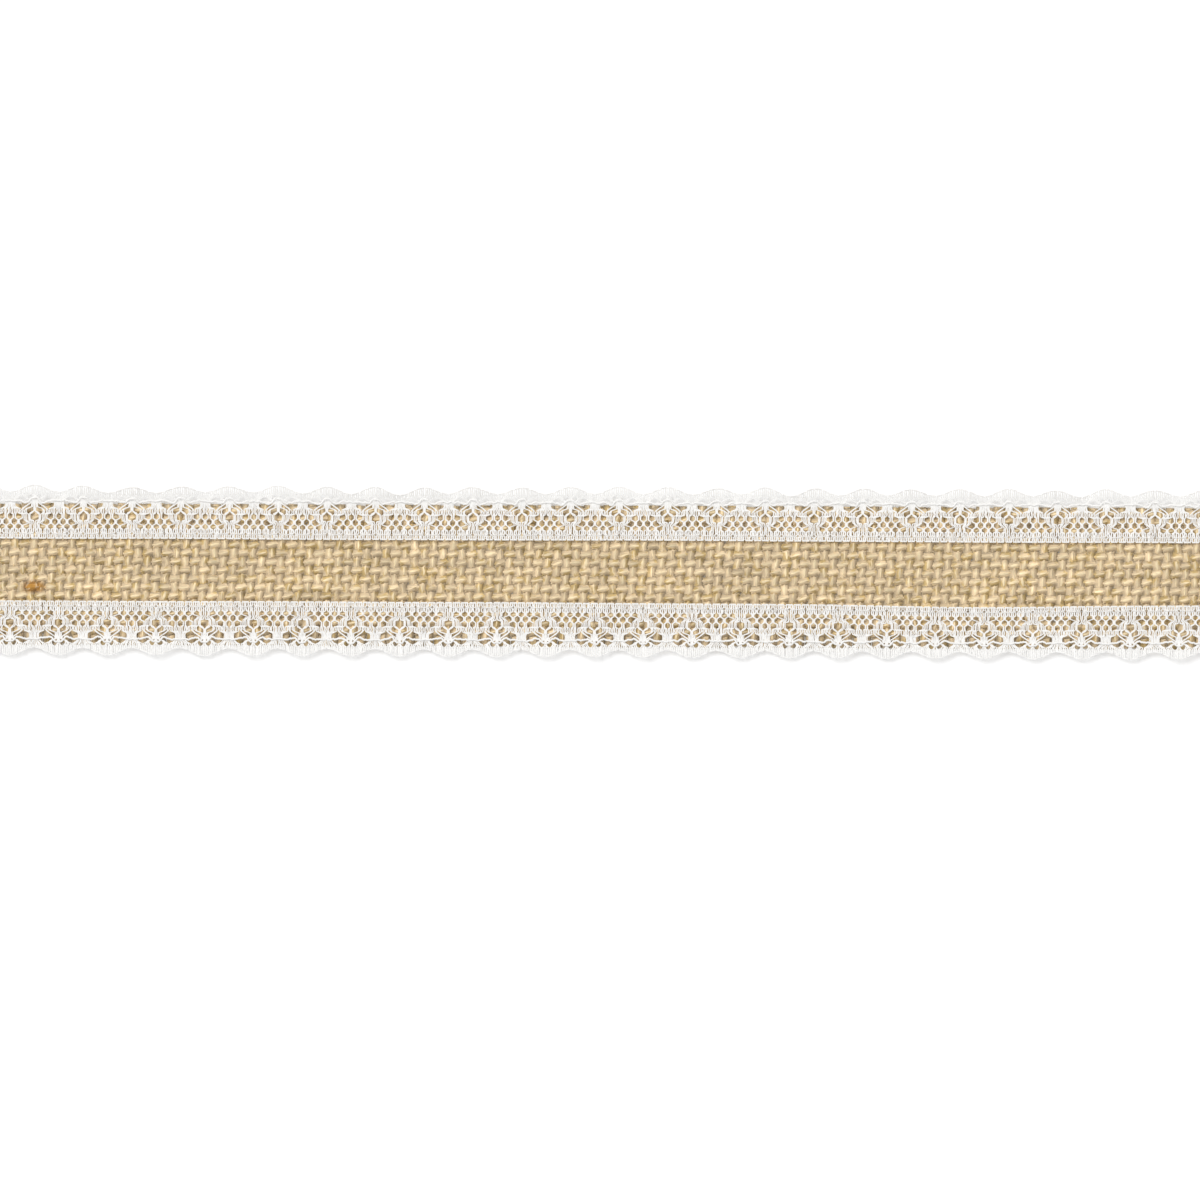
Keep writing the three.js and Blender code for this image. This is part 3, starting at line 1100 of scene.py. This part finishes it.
def light_world(strength):
    """Even light from all round, and plain white where the camera looks past the floor."""
    world = bpy.data.worlds.new("studio")
    bpy.context.scene.world = world
    world.use_nodes = True
    nodes, links = world.node_tree.nodes, world.node_tree.links
    path = nodes.new("ShaderNodeLightPath")
    seen = nodes["Background"]
    seen.inputs["Color"].default_value = (1, 1, 1, 1)
    seen.inputs["Strength"].default_value = 1.0
    lit = nodes.new("ShaderNodeBackground")
    lit.inputs["Color"].default_value = (1, 1, 1, 1)
    lit.inputs["Strength"].default_value = strength
    direct = path.outputs["Is Camera Ray"]
    for extra in ("Is Glossy Ray", "Is Transmission Ray"):
        either = nodes.new("ShaderNodeMath")
        either.operation = "MAXIMUM"
        links.new(direct, either.inputs[0])
        links.new(path.outputs[extra], either.inputs[1])
        direct = either.outputs["Value"]
    blend = nodes.new("ShaderNodeMixShader")
    links.new(direct, blend.inputs["Fac"])
    links.new(lit.outputs["Background"], blend.inputs[1])
    links.new(seen.outputs["Background"], blend.inputs[2])
    links.new(blend.outputs["Shader"], nodes["World Output"].inputs["Surface"])


def add_sun(name, strength, spread, direction):
    light = bpy.data.lights.new(name, "SUN")
    light.energy = strength
    light.angle = spread
    lamp = bpy.data.objects.new(name, light)
    lamp.rotation_mode = "QUATERNION"
    lamp.rotation_quaternion = Vector(direction).to_track_quat("-Z", "Y")
    bpy.context.collection.objects.link(lamp)


def set_stage():
    ground = bmesh.new()
    bmesh.ops.create_grid(ground, x_segments=1, y_segments=1, size=TABLE_HALF)
    bmesh.ops.translate(ground, vec=(0, 0, CAD_LOW.z - TABLE_DROP), verts=ground.verts)
    mesh = bpy.data.meshes.new("floor")
    ground.to_mesh(mesh)
    ground.free()
    mesh.materials.append(floor_material())
    floor = bpy.data.objects.new("floor", mesh)
    bpy.context.collection.objects.link(floor)

    light_world(ROOM_LIGHT)
    add_sun("window light", WINDOW_LIGHT, WINDOW_SPREAD, WINDOW_WAY)

    lens = bpy.data.cameras.new("camera")
    lens.type = "ORTHO"
    lens.ortho_scale = VIEW_WIDTH
    camera = bpy.data.objects.new("camera", lens)
    camera.location = VIEW_PLACE
    camera.rotation_euler = (0, 0, VIEW_ROLL)
    bpy.context.collection.objects.link(camera)
    bpy.context.scene.camera = camera
    bpy.context.scene.view_settings.view_transform = "Standard"


# Operators

class RUNNER_OT_set_stage(bpy.types.Operator):
    """Lay the white floor, the lights and the camera"""
    bl_idname = "runner.set_stage"
    bl_label = "Set Stage"

    def execute(self, context):
        set_stage()
        return {"FINISHED"}


class RUNNER_OT_weave_burlap(bpy.types.Operator):
    """Weave the jute band from its lengthwise and crosswise yarns"""
    bl_idname = "runner.weave_burlap"
    bl_label = "Weave Burlap"

    def execute(self, context):
        weave_burlap(context.scene.runner_sizes, context.scene.runner_colours)
        return {"FINISHED"}


class RUNNER_OT_make_lace(bpy.types.Operator):
    """Make the two scalloped laces, thread by thread"""
    bl_idname = "runner.make_lace"
    bl_label = "Make Lace"

    def execute(self, context):
        make_lace(context.scene.runner_sizes, context.scene.runner_colours)
        return {"FINISHED"}


class RUNNER_OT_lay_gimp(bpy.types.Operator):
    """Lay the thicker outline thread along each lace"""
    bl_idname = "runner.lay_gimp"
    bl_label = "Lay Gimp"

    def execute(self, context):
        lay_gimp(context.scene.runner_sizes, context.scene.runner_colours)
        return {"FINISHED"}


class RUNNER_OT_sew_lockstitch(bpy.types.Operator):
    """Sew the needle and bobbin threads through each lace heading"""
    bl_idname = "runner.sew_lockstitch"
    bl_label = "Sew Lockstitch"

    def execute(self, context):
        sew_lockstitch(context.scene.runner_sizes, context.scene.runner_colours)
        return {"FINISHED"}


OPERATORS = (
    RUNNER_OT_set_stage,
    RUNNER_OT_weave_burlap,
    RUNNER_OT_make_lace,
    RUNNER_OT_lay_gimp,
    RUNNER_OT_sew_lockstitch,
)


class RUNNER_PT_panel(bpy.types.Panel):
    """The runner's steps and sizes"""
    bl_idname = "RUNNER_PT_panel"
    bl_label = "Table Runner"
    bl_space_type = "VIEW_3D"
    bl_region_type = "UI"
    bl_category = "Runner"

    def draw(self, context):
        layout = self.layout
        for operator in OPERATORS:
            layout.operator(operator.bl_idname)
        for group in (context.scene.runner_sizes, context.scene.runner_colours):
            box = layout.box()
            for name in group.__annotations__:
                box.prop(group, name)


CLASSES = (RunnerSizes, RunnerColours, *OPERATORS, RUNNER_PT_panel)


def register():
    for item in CLASSES:
        bpy.utils.register_class(item)
    bpy.types.Scene.runner_sizes = PointerProperty(type=RunnerSizes)
    bpy.types.Scene.runner_colours = PointerProperty(type=RunnerColours)


def unregister():
    del bpy.types.Scene.runner_colours
    del bpy.types.Scene.runner_sizes
    for item in reversed(CLASSES):
        bpy.utils.unregister_class(item)


def main():
    register()
    bpy.ops.runner.set_stage()
    bpy.ops.runner.weave_burlap()
    bpy.ops.runner.make_lace()
    bpy.ops.runner.lay_gimp()
    bpy.ops.runner.sew_lockstitch()


if __name__ == "__main__":
    main()
